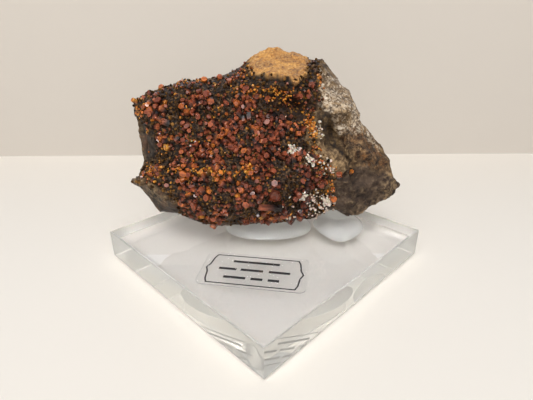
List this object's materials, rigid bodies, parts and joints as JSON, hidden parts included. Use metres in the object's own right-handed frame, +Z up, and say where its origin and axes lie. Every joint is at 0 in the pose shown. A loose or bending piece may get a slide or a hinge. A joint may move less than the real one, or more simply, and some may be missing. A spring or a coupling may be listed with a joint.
{
  "type": "mineral specimen on a display slab",
  "caption": "Broken host rock with a crust of hexagonal vanadinite crystals, held by clear gel pads on a square acrylic slab, corner to the front, with a label film.",
  "frame": {"origin": "centre of the slab's underside, where it rests", "axes": "+Z up, -Y towards the viewer and the slab's front corner, +X to the viewer's right"},
  "size_m": [0.1074, 0.1074, 0.0685],
  "materials": {
    "acrylic": "clear cast acrylic with polished faces and saw-cut, milky side faces",
    "label_film": "clear adhesive film with a thin printed frame",
    "mounting_gel": "whitish translucent gel, smooth where it squeezed out",
    "host_rock": "rough broken rock, grey-brown with pale streaks, one granular tan face",
    "vanadinite": "resinous red-brown hexagonal prisms with brighter orange edges",
    "quartz": "small milky white glassy crystals",
    "yellow_crust": "small yellow to orange resinous grains"
  },
  "bodies": {
    "root": {"slab": "acrylic", "label": "label_film", "gel_pad_front": "mounting_gel", "gel_pad_right": "mounting_gel", "matrix": "host_rock", "druse_upper": "vanadinite", "druse_hollow": "vanadinite", "druse_right_column": "vanadinite", "druse_lower": "vanadinite", "corner_crystal": "vanadinite", "top_edge_crystal": "vanadinite", "pink_crystal": "vanadinite", "red_crystal": "vanadinite", "large_hexagon": "vanadinite", "long_prism": "vanadinite", "stray_crystal": "vanadinite", "stray_companion": "vanadinite", "quartz_upper": "quartz", "quartz_middle": "quartz", "quartz_lower": "quartz", "quartz_right": "quartz", "quartz_bottom": "quartz", "yellow_bottom": "yellow_crust", "yellow_shelf": "yellow_crust", "orange_edge": "yellow_crust"}
  },
  "joints": []
}
